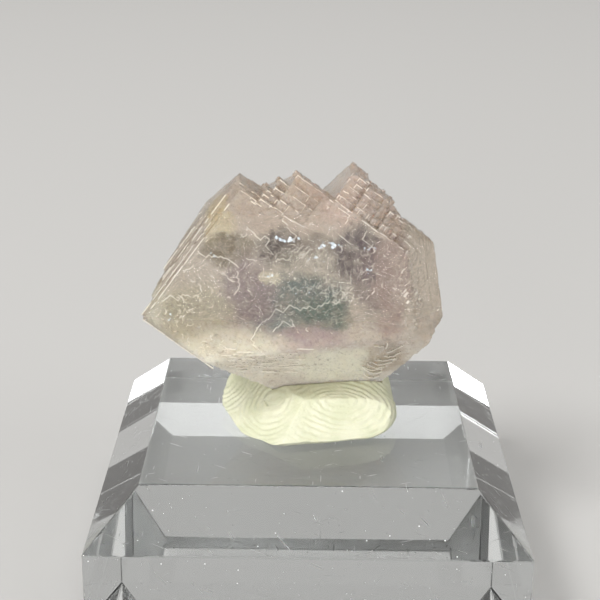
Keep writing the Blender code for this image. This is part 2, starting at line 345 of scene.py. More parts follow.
def plate_outline(depth, cells, steppers, dice):
    """Corners of the plate at a depth, over the falling and the rising axis."""
    left = steppers["left"].follow(left_side(depth)) + dice.choice((-1, 0, 0, 1)) * PLATE_JITTER
    low = RISE_LOW + dice.choice((0, 0, 1, 2)) * PLATE_JITTER
    outline = [Vector((left, low)), Vector((FALL_HIGH - dice.choice((0, 1, 3)) * 0.06, low))]
    end = outline[-1].x
    for start, tooth, lag in reversed(cells):
        top = cell_top(tooth, lag, depth)
        start = max(left, start)
        if end - start < 0.01:
            continue
        blunt = 0.0 if lag else (PEAK_CUT if tooth.full > PEAK_HEIGHT else TOOTH_CUT)
        blunt = min(blunt, (end - start) / 2)
        outline.append(Vector((end, top)))
        outline.append(Vector((start + blunt, top)))
        if blunt:
            outline.append(Vector((start, top - blunt)))
        end = start
    for number, facet in enumerate(FACETS):
        direction = Vector((facet.falling, facet.rising))
        reach = steppers[number].follow(facet.reach + facet.growth * depth)
        outline = clipped(outline, direction, reach + dice.uniform(-0.04, 0.04))
    for lean, reach in BULGE_ENDS:
        reach += dice.choice((-1, 0, 1)) * PLATE_JITTER
        outline = clipped(outline, Vector((-1, lean)), reach)
    return wavy(outline, depth, CUBE_WAVE, OCTAHEDRAL_WAVE)


# Solids in the crystal's axes, in millimetres


def in_scene(name, data):
    """A new object of the scene."""
    thing = bpy.data.objects.new(name, data)
    bpy.context.scene.collection.objects.link(thing)
    return thing


def combined(thing, operation, **others):
    """The mesh of an object after others have been joined to it or cut from it."""
    change = thing.modifiers.new("change", "BOOLEAN")
    change.operation = operation
    change.solver = "MANIFOLD"
    for name, value in others.items():
        setattr(change, name, value)
    depsgraph = bpy.context.evaluated_depsgraph_get()
    return bpy.data.meshes.new_from_object(thing.evaluated_get(depsgraph))


def box_shape(size, middle):
    """A plain box, in millimetres."""
    shape = bmesh.new()
    bmesh.ops.create_cube(shape, size=1)
    bmesh.ops.scale(shape, vec=size, verts=shape.verts)
    bmesh.ops.translate(shape, vec=middle, verts=shape.verts)
    return shape


def shape_mesh(shape, name):
    """The mesh of a finished shape, in metres."""
    bmesh.ops.scale(shape, vec=(MM, MM, MM), verts=shape.verts)
    mesh = bpy.data.meshes.new(name)
    shape.to_mesh(mesh)
    shape.free()
    return mesh

FACE_SLOT, STEP_SLOT, LINE_SLOT, GLINT_SLOT = 0, 1, 2, 3
ALL_LINE = (LINE_SLOT, LINE_SLOT)


def inset_ring(outline, amount):
    """An outline drawn in by an amount all round."""
    ring = []
    count = len(outline)
    for number, here in enumerate(outline):
        before = (here - outline[number - 1]).normalized()
        after = (outline[(number + 1) % count] - here).normalized()
        inwards = Vector((-before.y - after.y, before.x + after.x))
        ring.append(here + inwards * (2 * amount / max(inwards.length_squared, 1.2)))
    return ring


def prism(name, outline, back, front, draw=0.0, slots=(FACE_SLOT, STEP_SLOT)):
    """A closed prism over an outline, drawn in at its front, with slots for its ends and walls."""
    count = len(outline)
    top = inset_ring(outline, draw) if draw else outline
    points = [(point.x, point.y, back) for point in outline]
    points += [(point.x, point.y, front) for point in top]
    faces = [tuple(reversed(range(count))), tuple(range(count, 2 * count))]
    for here in range(count):
        there = (here + 1) % count
        faces.append((here, there, count + there, count + here))
    mesh = bpy.data.meshes.new(name)
    mesh.from_pydata(points, [], faces)
    for material in CRYSTAL_MATERIALS:
        mesh.materials.append(material)
    mesh.polygons.foreach_set("material_index", [slots[0]] * 2 + [slots[1]] * count)
    return bpy.data.objects.new(name, mesh)


def rectangle(x_low, x_high, y_low, y_high):
    """The outline of a rectangle square with the crystal's axes."""
    corners = ((x_low, y_low), (x_high, y_low), (x_high, y_high), (x_low, y_high))
    return [Vector(corner) for corner in corners]


def bar(x_ends, y_ends, back, front):
    """A thin straight ridge between two places, square with the crystal's axes."""
    return prism("edge", rectangle(*x_ends, *y_ends), back, front, slots=ALL_LINE)


def ledge_edges(depth, cells, before, dice):
    """The raised front edges of the ledges that begin at a plate."""
    parts = []
    for number, (start, tooth, lag) in enumerate(cells):
        top = cell_top(tooth, lag, depth + 0.05)
        low = before.get(number, top - 0.3)
        before[number] = top
        if top < low + 0.05:
            continue
        end = cells[number + 1][0] if number + 1 < len(cells) else FALL_HIGH
        if start + top > FACETS[0].reach + depth - 0.2:
            continue
        end = min(end, FACETS[0].reach + depth - top)
        start = max(start, left_side(depth) + 0.1)
        if end - start < 0.1:
            continue
        while start < end - 0.05:
            reach = min(start + dice.uniform(0.15, 0.7), end)
            thick = dice.uniform(0.02, 0.09)
            lift = dice.uniform(-0.05, 0.015)
            front = -depth + dice.uniform(0.01, 0.05)
            if dice.random() < 0.6:
                parts.append(bar((start, reach), (top + lift - thick, top + lift), front - 0.15, front))
            if dice.random() < 0.22:
                foot = low + (top - low) * dice.uniform(0.0, 0.6)
                parts.append(bar((start, start + thick), (foot, top), front - 0.15, front))
            start = reach
    return parts


def side_edge(depth, outline, dice):
    """The broken edge, painted bright as painted light, where the left side steps out at a plate."""
    left = min(spot.x for spot in outline)
    along = [spot.y for spot in outline if spot.x < left + 0.06]
    parts = []
    low, high = min(along), max(along)
    while low < high - 0.3:
        length = dice.uniform(0.5, 2.4)
        end = min(low + length, high)
        front = -depth + dice.uniform(0.01, 0.04)
        out = dice.uniform(0.02, 0.05)
        if dice.random() < 0.55:
            thick = dice.uniform(0.04, 0.13)
            parts.append(bar((left - out, left + 0.05), (low, end), front - thick, front))
        low = end + dice.uniform(0.0, 0.5)
    return parts


def low_edge(dice):
    """The broken rim, painted bright as painted light, along the large face's lower left edge."""
    parts = []
    start = FALL_LOW
    while start < -1.6:
        reach = start + dice.uniform(0.3, 1.4)
        front = dice.uniform(0.01, 0.04)
        low = RISE_LOW - dice.uniform(0.0, 0.04)
        parts.append(bar((start, reach), (low, low + dice.uniform(0.06, 0.11)), -0.12, front))
        start = reach + dice.uniform(0.0, 0.15)
    return parts


def growth_plates():
    """The whole stack of fine plates, with the edges of the ledges that they form."""
    dice = random.Random(SEED)
    edge_dice = random.Random(SEED + 4)
    cells = ledge_cells(dice)
    steppers = {number: Stepper(dice) for number in range(len(FACETS))}
    steppers["left"] = Stepper(dice)
    plates, tops, side = [], {}, None
    for depth, thickness in plate_depths():
        outline = plate_outline(depth + thickness / 2, cells, steppers, dice)
        lap = PLATE_LAP if depth + thickness < DEPTH - 1e-6 else 0.0
        plates.append(prism("plate", outline, -depth - thickness - lap, -depth))
        plates += ledge_edges(depth, cells, tops, edge_dice)
        if steppers["left"].value != side:
            side = steppers["left"].value
            plates += side_edge(depth, outline, edge_dice)
    plates += low_edge(edge_dice)
    return plates


def block(centre, size, height, bright=False):
    """A small cube-shaped growth, square with the crystal's axes; a bright one is painted pale all over as
    painted light.
    """
    x, y, z = centre
    across, along = size[0] / 2, size[1] / 2
    outline = rectangle(x - across, x + across, y - along, y + along)
    return prism("block", outline, z - height, z, slots=ALL_LINE if bright else (FACE_SLOT, STEP_SLOT))


def below_teeth(x, y, margin):
    """Whether a place lies under the front of the tooth above it."""
    fronts = [tooth.front for tooth in TEETH if tooth.start <= x]
    return bool(fronts) and y < fronts[-1] - margin


def on_large_face(x, y, margin):
    """Whether a place is on the large face and clear of its edges."""
    if x < FALL_LOW + margin or y < RISE_LOW + margin:
        return False
    if x + y > FACETS[0].reach - margin or x - y > FACETS[2].reach - margin:
        return False
    return below_teeth(x, y, margin)


def on_front(spot):
    """Whether a place is on the large face or on a facet beside it, and clear of their ends."""
    if spot.x < FALL_LOW + FRONT_MARGIN or spot.y < RISE_LOW + FRONT_MARGIN:
        return False
    return surface_depth(spot) <= FRONT_DEPTH and below_teeth(spot.x, spot.y, FRONT_MARGIN)


def small_growths():
    """Small cube-shaped growths scattered over the large face."""
    dice = random.Random(SEED + 1)
    blocks = []
    for patch in PATCHES:
        for _ in range(patch.count):
            angle = dice.uniform(0, math.tau)
            away = dice.random() ** 0.6
            right = patch.right + patch.reach * away * math.cos(angle)
            up = patch.up + patch.rise * away * math.sin(angle)
            x, y = along_axes(right, up)
            wide = dice.uniform(*patch.widths)
            if not on_large_face(x, y, 0.1 + wide):
                continue
            size = (wide, wide * dice.uniform(0.4, 1.6))
            # A few small ones are painted pale as painted highlights, specks that catch the light.
            bright = dice.random() < 0.02 and wide < 0.18
            blocks.append(block((x, y, dice.uniform(*patch.heights)), size, 0.3, bright))
    return blocks


def thin_ridge(spots, widths, heights, dice):
    """A thin ridge that follows some places, each piece of it as far back as the surface there."""
    parts = []
    for here, there in zip(spots, spots[1:]):
        along = there - here
        if along.length < 0.02:
            continue
        along.normalize()
        half = dice.uniform(*widths) / 2
        aside = Vector((-along.y, along.x)) * half
        start, end = here - along * half * 0.6, there + along * half * 0.6
        outline = [start - aside, end - aside, end + aside, start + aside]
        top = dice.uniform(*heights) - surface_depth((here + there) / 2)
        parts.append(prism("line", outline, top - LINE_ROOT, top, half * 0.45, ALL_LINE))
    return parts


def stepped(corners, dice):
    """Places along some corners, in small square steps that keep to the crystal's axes."""
    spots = [Vector(corners[0])]
    for here, there in zip(corners, corners[1:]):
        here, there = Vector(here), Vector(there)
        along = there - here
        count = max(1, round(along.length / LINE_STEP))
        aside = Vector((-along.y, along.x)).normalized()
        for step in range(1, count + 1):
            shift = dice.uniform(-0.07, 0.07) if step < count else 0.0
            goal = here.lerp(there, step / count) + aside * shift
            last = spots[-1]
            turn = Vector((goal.x, last.y)) if dice.random() < 0.5 else Vector((last.x, goal.y))
            spots += [last.lerp(turn, 0.85), goal]
    return spots


def bent(corners, dice):
    """Places along some corners, in short uneven pieces."""
    spots = [along_axes(*corners[0])]
    for here, there in zip(corners, corners[1:]):
        for step in range(1, 4):
            right = here[0] + (there[0] - here[0]) * step / 3
            up = here[1] + (there[1] - here[1]) * step / 3
            spots.append(along_axes(right + dice.uniform(-0.03, 0.03), up + dice.uniform(-0.03, 0.03)))
    return spots


def zigzag(spot, heading, reach, dice):
    """Places of a short thread that turns sharply."""
    spots = [spot]
    for _ in range(dice.randint(1, 3)):
        spot = spot + Vector((math.cos(heading), math.sin(heading))) * dice.uniform(0.25, 1.0) * reach
        spots.append(spot)
        heading += dice.choice((-1, 1)) * dice.uniform(0.5, 1.6)
    return spots


def all_lines():
    """Every thin raised line on the front of the crystal."""
    dice = random.Random(SEED + 3)
    parts = []
    for corners in LINES:
        parts += thin_ridge(stepped(corners, dice), LINE_WIDTHS, LINE_HEIGHTS, dice)
    for corners in FAN_LINES:
        parts += thin_ridge(bent(corners, dice), FAN_WIDTHS, FAN_HEIGHTS, dice)
    for _ in range(STRAY_LINES):
        spot = along_axes(dice.uniform(-12, 10), dice.uniform(-7, 6))
        spots = zigzag(spot, dice.choice(AXIS_TURNS) * math.pi, 0.5, dice)
        if all(on_large_face(spot.x, spot.y, 0.25) for spot in spots):
            parts += thin_ridge(spots, LINE_WIDTHS, LINE_HEIGHTS, dice)
    for _ in range(RIPPLES):
        right, up = dice.uniform(*RIPPLE_ENDS[0]), dice.uniform(*RIPPLE_ENDS[1])
        spots = []
        for step in range(dice.randint(3, 6)):
            swing = 0.12 * noise.noise(Vector((right * 1.5, up * 2, 0)))
            spots.append(along_axes(right + 0.3 * step, up + swing + dice.uniform(-0.03, 0.03)))
        if all(on_front(spot) for spot in spots):
            parts += thin_ridge(spots, RIPPLE_WIDTHS, RIPPLE_HEIGHTS, dice)
    return parts + threads()


def threads():
    """Clusters of short fine threads, the broken edges of thin growth layers, painted pale as painted
    sparkle highlights.
    """
    dice = random.Random(SEED + 9)
    level_heading = math.pi / 2 - FACE_ROLL
    parts = []
    for right, up, reach, rise, count, levelness in THREADS:
        for _ in range(count):
            spot = along_axes(right + reach * dice.gauss(0, 0.5), up + rise * dice.gauss(0, 0.5))
            heading = dice.choice(AXIS_TURNS) * math.pi + dice.gauss(0, 0.25)
            if dice.random() < levelness:
                heading = level_heading + dice.gauss(0, 0.15)
            spots = zigzag(spot, heading, 0.34, dice)
            if all(on_front(spot) for spot in spots):
                parts += thin_ridge(spots, THREAD_WIDTHS, THREAD_HEIGHTS, dice)
    return parts


def glints():
    """Small tilted facets that catch a light low in front, in a few clusters."""
    dice = random.Random(SEED + 6)
    axes = crystal_axes().to_3x3().transposed()
    parts = []
    for right, up, reach, rise, count, size in GLINT_PATCHES:
        for _ in range(count):
            x, y = along_axes(right + reach * dice.gauss(0, 0.45), up + rise * dice.gauss(0, 0.45))
            if not on_large_face(x, y, 0.4):
                continue
            turn = math.radians(GLINT_TURN + dice.gauss(0, 2.5))
            tilt = math.radians(GLINT_TILT + dice.gauss(0, 2.5))
            facing = Vector((
                math.sin(turn) * math.cos(tilt), -math.cos(turn) * math.cos(tilt), math.sin(tilt)))
            normal = axes @ facing
            half = dice.uniform(0.3, 1.0) * size
            start = dice.uniform(0, math.tau)
            count_sides = dice.randint(4, 6)
            outline = []
            for side in range(count_sides):
                angle = start + math.tau * side / count_sides
                far = half * dice.uniform(0.7, 1.2)
                outline.append(Vector((x + far * math.cos(angle), y + far * math.sin(angle))))
            # Their tops take the glint material: painted highlights on facets tilted to catch the low front
            # lamp.
            facet = prism("glint", outline, -0.2, 0.0, slots=(GLINT_SLOT, FACE_SLOT))
            for vertex in facet.data.vertices[count_sides:]:
                lean = (vertex.co.x - x) * normal.x + (vertex.co.y - y) * normal.y
                vertex.co.z = 0.06 - lean / normal.z
            parts.append(facet)
    return parts


def edge_growths(facet, x_ends, count, spread, painted_light_share, seed):
    """Small growths all along the edge between the large face and an octahedral facet."""
    dice = random.Random(seed)
    blocks = []
    for _ in range(count):
        x = dice.uniform(*x_ends)
        depth = dice.random() ** 2 * spread
        over = facet.reach + facet.growth * depth - dice.uniform(0.05, 0.55)
        y = (over - x) * facet.rising
        if y < RISE_LOW + 0.4:
            continue
        size = (dice.uniform(0.12, 0.55), dice.uniform(0.12, 0.55))
        top = -depth + dice.uniform(0.02, 0.18)
        # A share of them is painted pale as painted light, against the shade in the crevices between them.
        bright = dice.random() < painted_light_share and size[0] < 0.25
        blocks.append(block((x, y, top), size, dice.uniform(0.3, 0.9), bright))
    return blocks


def crest_growths():
    """Small growths that break the upper edges of the teeth."""
    dice = random.Random(SEED + 7)
    axes = crystal_axes()
    limit = CAD_BOX[1][2] - 0.03 * MM
    blocks = []
    for _ in range(CREST_GROWTHS):
        x = dice.uniform(FALL_LOW, 9.5)
        tooth = [tooth for tooth in TEETH if tooth.start <= x][-1]
        depth = dice.random() ** 1.5 * (tooth.crest + 1)
        top = cell_top(tooth, 0.0, depth)
        size = (dice.uniform(0.12, 0.55), dice.uniform(0.3, 0.6))
        y = top - size[1] / 2 + dice.uniform(0.02, 0.14)
        if x + y > FACETS[0].reach + depth - 0.3:
            continue
        corner = axes @ (Vector((x - size[0] / 2, y + size[1] / 2, -depth)) * MM)
        if corner.z < limit:
            place = (x, y, -depth + dice.uniform(0.0, 0.06))
            blocks.append(block(place, size, dice.uniform(0.1, 0.6)))
    return blocks


def united(pieces, name):
    """One closed mesh from solids that overlap."""
    bpy.context.scene.collection.objects.link(pieces[0])
    others = bpy.data.collections.new("others")
    for piece in pieces[1:]:
        others.objects.link(piece)
    mesh = combined(pieces[0], "UNION", operand_type="COLLECTION", collection=others)
    for piece in pieces:
        bpy.data.objects.remove(piece, do_unlink=True)
    bpy.data.collections.remove(others)
    mesh.name = name
    return mesh


def crystal_axes():
    """The matrix that turns the crystal's axes into place, in metres."""
    level = Vector((1, 0, 0))
    outward = Vector((0, -math.cos(FACE_TILT), math.sin(FACE_TILT)))
    upward = outward.cross(level)
    rising = math.cos(FACE_ROLL) * level + math.sin(FACE_ROLL) * upward
    falling = math.sin(FACE_ROLL) * level - math.cos(FACE_ROLL) * upward
    turn = Matrix((falling, rising, outward)).transposed().to_4x4()
    return Matrix.Translation(FACE_CENTRE) @ turn


def make_crystal():
    """The crystal, as one closed mesh."""
    pieces = growth_plates() + small_growths() + all_lines() + glints()
    pieces += edge_growths(FACETS[0], (6.6, 11.4), COLUMN_GROWTHS, 1.4, 0.26, SEED + 2)
    pieces += edge_growths(FACETS[2], (-1.2, 11.2), UNDER_GROWTHS, 3.2, 0.05, SEED + 8)
    mesh = united(pieces + crest_growths(), "crystal_detail")
    mesh.transform(crystal_axes() @ Matrix.Scale(MM, 4))
    crystal = in_scene("crystal_detail", mesh)
    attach(crystal, "root")
    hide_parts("crystal")
    return crystal


# The putty


def straight_reach(angle):
    """How far the straight-sided outline of the putty lies from its middle in a direction."""
    heading = Vector((math.cos(angle), math.sin(angle)))
    corners = [Vector(corner) for corner in PUTTY_OUTLINE]
    for here, there in zip(corners, corners[1:] + corners[:1]):
        side = there - here
        across = heading.x * side.y - heading.y * side.x
        if abs(across) < 1e-9:
            continue
        reach = (here.x * side.y - here.y * side.x) / across
        along = (here.x * heading.y - here.y * heading.x) / across
        if reach > 0 and -1e-9 <= along <= 1 + 1e-9:
            return reach
    return 7.5


def putty_top(y):
    """The height of the lump's top, which rises behind the crystal."""
    along = limited((y + 3.0) / 7.0)
    return PUTTY_FRONT_TOP + (PUTTY_BACK_TOP - PUTTY_FRONT_TOP) * (1 - math.cos(math.pi * along)) / 2


def press_planes():
    """The two planes that pressed the front, each with its normal and how far out it lies."""
    crest = CREST_TOP - CREST_FOOT
    left = crest.cross(LEFT_FOOT - CREST_FOOT).normalized()
    right = (RIGHT_FOOT - CREST_FOOT).cross(crest).normalized()
    return (left, left.dot(CREST_FOOT)), (right, right.dot(CREST_FOOT))


def lump_point(level, angle, reach, planes):
    """A point of the lump's surface before its fine ridges, in millimetres."""
    planar = math.sqrt(max(1 - level * level, 0))
    fullness = PUTTY_FULLNESS_ABOVE if level > 0 else PUTTY_FULLNESS_BELOW
    out = reach * planar ** fullness
    x, y = out * math.cos(angle), out * math.sin(angle)
    if level >= 0:
        z = PUTTY_WAIST + (putty_top(y) - PUTTY_WAIST) * level
    else:
        z = max(PUTTY_WAIST + (PUTTY_WAIST - PUTTY_FOOT) * 1.3 * level, PUTTY_FOOT)
    point = Vector((x, y, z))
    for normal, limit in planes:
        over = normal.dot(point) - limit
        if over > -PRESS_EASE:
            eased = over if over > PRESS_EASE else (over + PRESS_EASE) ** 2 / (4 * PRESS_EASE)
            point -= normal * eased
    point += Vector((1, 1, 0.5)) * 0.22 * noise.noise(point * 0.33)
    point.z = max(point.z, PUTTY_FOOT)
    return point


def ridge_push(point):
    """How far the pressed ridges stand out at a point of the putty."""
    best = None
    for middle, stretch in WHORLS:
        gap = point - middle
        away = Vector((gap.x / stretch, gap.y, gap.z)).length
        if best is None or away < best:
            best = away
    bend = 0.35 * noise.noise(point * 0.8) + 0.12 * noise.noise(point * 2.4)
    wave = math.cos(math.tau * (best / RIDGE_SPACING + bend))
    strength = 0.6 + 0.6 * noise.noise(point * 0.6 + Vector((5, 2, 1)))
    climbed = limited((point.z - CREST_FOOT.z) / (CREST_TOP.z - CREST_FOOT.z))
    crest = CREST_FOOT.lerp(CREST_TOP, climbed)
    strength *= limited(((point - crest).length - 0.3) / 1.6)
    crack = 0.0
    crack_line = point.x + 3.95 + 0.25 * math.sin(point.z * 5)
    if abs(crack_line) < 0.12 and 15.0 < point.z < 16.2 and point.y < -2:
        crack = -0.22 * (1 - abs(crack_line) / 0.12)
    return RIDGE_HEIGHT * wave * strength + crack + 0.03 * noise.noise(point * 5)


def seat_cutter():
    """The crystal's ideal shape with a little clearance, which hollows the putty."""
    low = Vector((FALL_LOW - BULGE_SLOPE * BULGE_DEPTH, RISE_LOW, -DEPTH))
    high = Vector((FALL_HIGH, 11.0, 0.0))
    shape = box_shape((high - low) + Vector((1, 1, 1)) * 2 * SEAT_CLEARANCE, (low + high) / 2)
    for facet in FACETS:
        normal = Vector((facet.falling, facet.rising, facet.growth)).normalized()
        across = Vector((facet.falling, facet.rising, 0))
        foot = across * (facet.reach / 2) + normal * (SEAT_CLEARANCE + SEAT_MARGIN)
        bmesh.ops.bisect_plane(
            shape, geom=shape.verts[:] + shape.edges[:] + shape.faces[:], dist=1e-6,
            plane_co=foot, plane_no=normal, clear_outer=True)
        rim = [edge for edge in shape.edges if edge.is_boundary]
        bmesh.ops.holes_fill(shape, edges=rim)
    bmesh.ops.recalc_face_normals(shape, faces=shape.faces)
    cutter = in_scene("seat", shape_mesh(shape, "seat"))
    cutter.matrix_world = crystal_axes()
    return cutter


def make_putty():
    """The pressed lump with its fine ridges, hollowed where the crystal sits in it."""
    planes = press_planes()
    reaches = []
    for segment in range(PUTTY_SEGMENTS):
        angle = math.tau * segment / PUTTY_SEGMENTS
        around = [straight_reach(angle + math.radians(turn)) for turn in PUTTY_TURNS]
        reaches.append((angle, sum(around) / len(around)))
    points = []
    for ring in range(1, PUTTY_RINGS):
        level = math.sin(math.pi * (ring / PUTTY_RINGS - 0.5))
        points += [lump_point(level, angle, reach, planes) for angle, reach in reaches]
    bottom, top = len(points), len(points) + 1
    points.append(lump_point(-1, 0, 0, planes))
    points.append(lump_point(1, 0, 0, planes))
    faces = []
    for ring in range(PUTTY_RINGS - 2):
        for here in range(PUTTY_SEGMENTS):
            there = (here + 1) % PUTTY_SEGMENTS
            low, high = ring * PUTTY_SEGMENTS, (ring + 1) * PUTTY_SEGMENTS
            faces.append((low + here, low + there, high + there, high + here))
    last = (PUTTY_RINGS - 2) * PUTTY_SEGMENTS
    for here in range(PUTTY_SEGMENTS):
        there = (here + 1) % PUTTY_SEGMENTS
        faces.append((bottom, there, here))
        faces.append((top, last + here, last + there))
    mesh = bpy.data.meshes.new("putty_lump")
    mesh.from_pydata(points, [], faces)
    normals = [vertex.normal.copy() for vertex in mesh.vertices]
    for vertex, normal in zip(mesh.vertices, normals):
        fade = limited((vertex.co.z - PUTTY_FOOT) / 0.4)
        vertex.co += normal * ridge_push(vertex.co) * fade
        vertex.co.z = max(vertex.co.z, PUTTY_FOOT)
    mesh.transform(Matrix.Scale(MM, 4))
    mesh.polygons.foreach_set("use_smooth", [True] * len(mesh.polygons))
    mesh.materials.append(putty_material())
    putty = in_scene("putty_lump", mesh)
    cutter = seat_cutter()
    putty.data = combined(putty, "DIFFERENCE", object=cutter)
    putty.modifiers.clear()
    bpy.data.objects.remove(cutter, do_unlink=True)
    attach(putty, "root")
    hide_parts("putty")
    return putty


# The display base


def make_base():
    """The clear block, its top edges cut at 45 degrees and every edge slightly softened."""
    shape = box_shape((BASE_SIDE, BASE_SIDE, BASE_HEIGHT), (0, 0, BASE_HEIGHT / 2))
    rim = [edge for edge in shape.edges if all(vert.co.z > BASE_HEIGHT / 2 for vert in edge.verts)]
    bmesh.ops.bevel(shape, geom=rim, offset=BASE_BEVEL, segments=1, affect="EDGES")
    bmesh.ops.bevel(shape, geom=shape.edges[:], offset=EDGE_SOFT, segments=3, profile=0.5, affect="EDGES")
    base = in_scene("acrylic_block", shape_mesh(shape, "acrylic_block"))
    base.data.materials.append(acrylic_material())
    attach(base, "root")
    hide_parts("display_base")
    return base


# Materials

FLUORITE_IOR = 1.434
FLUORITE_TINT = srgb(224, 210, 198)
FLUORITE_DENSITY = 9.0
MOST_CLEAR = 0.92
ACRYLIC_IOR = 1.49
# Which inputs and output of a mixing node carry colours
MIX_SHARE, MIX_FIRST, MIX_SECOND, MIX_RESULT = 0, 6, 7, 2


def feed(tree, node, values):
    """Plain values or links for a node's inputs."""
    for key, value in values.items():
        if isinstance(value, bpy.types.NodeSocket):
            tree.links.new(value, node.inputs[key])
        else:
            node.inputs[key].default_value = value


def add_node(tree, kind, values, **settings):
    """A node with some of its settings and inputs."""
    node = tree.nodes.new(kind)
    for name, value in settings.items():
        setattr(node, name, value)
    feed(tree, node, values)
    return node


def new_material(name):
    """A material with only a Principled shader and the output."""
    material = bpy.data.materials.new(name)
    material.use_nodes = True
    shader = material.node_tree.nodes["Principled BSDF"]
    return material, material.node_tree, shader


def map_range(tree, value, low, high, to_low=0.0, to_high=1.0, smooth=True):
    """A value moved from one range to another, and kept inside it."""
    values = {"Value": value, "From Min": low, "From Max": high, "To Min": to_low, "To Max": to_high}
    kind = "SMOOTHSTEP" if smooth else "LINEAR"
    return add_node(tree, "ShaderNodeMapRange", values, interpolation_type=kind).outputs["Result"]


def math_node(tree, operation, first, second):
    """Two values put together by one sum."""
    return add_node(tree, "ShaderNodeMath", {0: first, 1: second}, operation=operation).outputs[0]


def mix_colour(tree, share, first, second):
    """One colour passing into another by a share."""
    values = {MIX_SHARE: share, MIX_FIRST: first, MIX_SECOND: second}
    node = add_node(tree, "ShaderNodeMix", {}, data_type="RGBA")
    feed(tree, node, values)
    return node.outputs[MIX_RESULT]


def noise_value(tree, place, scale, detail, roughness, output="Fac"):
    """A cloudy value, or a cloudy colour."""
    return add_node(tree, "ShaderNodeTexNoise", {
        "Vector": place, "Scale": scale, "Detail": detail, "Roughness": roughness}).outputs[output]


def part(tree, place, axis):
    """One of the three parts of a place."""
    return add_node(tree, "ShaderNodeSeparateXYZ", {0: place}).outputs[axis]


def voronoi(tree, place, scale):
    """How far a place is from the middle of its cell."""
    return add_node(tree, "ShaderNodeTexVoronoi", {"Vector": place, "Scale": scale}).outputs["Distance"]


def mapped(tree, place, scale=(1, 1, 1), rotation=(0, 0, 0), location=(0, 0, 0), kind="POINT"):
    """A place stretched, turned and moved, or seen from axes that are."""
    return add_node(tree, "ShaderNodeMapping", {
        "Vector": place, "Scale": scale, "Rotation": rotation, "Location": location,
    }, vector_type=kind).outputs[0]


def own_place(tree):
    """The object's own coordinates in metres."""
    return add_node(tree, "ShaderNodeTexCoord", {}).outputs["Object"]


def millimetre_place(tree):
    """The object's own coordinates in millimetres."""
    return mapped(tree, own_place(tree), (1000, 1000, 1000))


def crystal_place(tree):
    """A place along the crystal's own axes, in millimetres."""
    turn = crystal_axes().to_euler()
    return mapped(tree, own_place(tree), (MM, MM, MM), turn, FACE_CENTRE, "TEXTURE")


def warped(tree, place, scale, amount):
    """A place pushed about by noise."""
    push = noise_value(tree, place, scale, 4.0, 0.6, "Color")
    for operation, values in (
            ("SUBTRACT", {1: (0.5, 0.5, 0.5)}), ("SCALE", {"Scale": amount}), ("ADD", {1: place})):
        push = add_node(tree, "ShaderNodeVectorMath", {0: push, **values}, operation=operation).outputs[0]
    return push


def inside(tree, place, centre, radii, soft=0.46):
    """One inside an ellipsoid, passing to nothing at its edge."""
    scale = tuple(1 / radius for radius in radii)
    location = tuple(-middle / radius for middle, radius in zip(centre, radii))
    moved = mapped(tree, place, scale, location=location)
    ball = add_node(tree, "ShaderNodeTexGradient", {"Vector": moved}, gradient_type="SPHERICAL")
    return map_range(tree, ball.outputs["Fac"], 0.0, soft)


# Coloured zones of the crystal in millimetres to the right, up and outward, with how strong each is
Zone = namedtuple("Zone", "centre radii colour strength")
ZONES = (
    Zone((0.0, 6.5, -2), (7.5, 4.2, 12), (224, 202, 184), 0.85),
    Zone((5.6, 7.6, -2), (4.6, 3.8, 12), (232, 204, 190), 0.85),
    Zone((-6.4, 4.9, -1), (2.0, 2.2, 7), (250, 232, 186), 0.95),
    Zone((-5.6, 2.9, -2), (3.2, 1.9, 8), (126, 112, 88), 1.0),
    Zone((-1.0, 2.9, -1), (2.8, 2.1, 7), (66, 56, 54), 1.0),
    Zone((2.2, 3.2, -1), (2.2, 1.6, 7), (128, 116, 106), 0.85),
    Zone((1.5, 1.1, -1), (4.0, 2.0, 7), (184, 178, 160), 0.6),
    Zone((5.7, 2.3, -2), (3.2, 3.6, 10), (66, 52, 60), 1.0),
    Zone((7.0, 0.4, -2), (2.2, 3.8, 10), (116, 96, 98), 0.85),
    Zone((0.4, -1.6, -2), (6.0, 2.9, 9), (84, 102, 101), 1.0),
    Zone((2.8, -3.2, -2), (3.4, 2.2, 9), (76, 104, 94), 0.95),
    Zone((-1.6, -4.4, -1), (3.2, 2.0, 8), (126, 142, 142), 1.0),
    Zone((-3.8, -1.4, -2), (3.2, 4.8, 9), (146, 125, 132), 0.9),
    # A small pale cream spot that paints a bright internal reflection.
    Zone((-1.9, 0.3, -1), (1.3, 0.8, 4), (246, 238, 204), 0.95),
    Zone((1.4, -5.6, -1), (5.0, 2.0, 8), (192, 170, 170), 0.9),
    Zone((8.8, 0.0, -1), (2.0, 7.0, 8), (174, 145, 138), 0.9),
    # Near-white low down: partly the crystal's milky bottom, partly painted light from the putty and base
    # beneath.
    Zone((4.0, -9.0, -2), (5.6, 3.4, 9), (255, 250, 222), 1.0),
    Zone((8.2, 5.4, -2), (2.6, 2.2, 9), (246, 226, 212), 0.9),
    Zone((-11.4, -3.0, -2), (2.4, 2.4, 9), (248, 242, 220), 0.85),
    Zone((8.6, -8.2, -3), (2.6, 2.6, 9), (168, 154, 134), 0.85),
    Zone((-8.2, -3.6, -2), (4.2, 4.2, 9), (212, 203, 172), 0.9),
    # Near-white low down: partly the crystal's milky bottom, partly painted light from the putty and base
    # beneath.
    Zone((-5.0, -7.6, -2), (7.6, 4.2, 9), (250, 242, 220), 0.95),
)
BODY_COLOUR = (226, 214, 198)


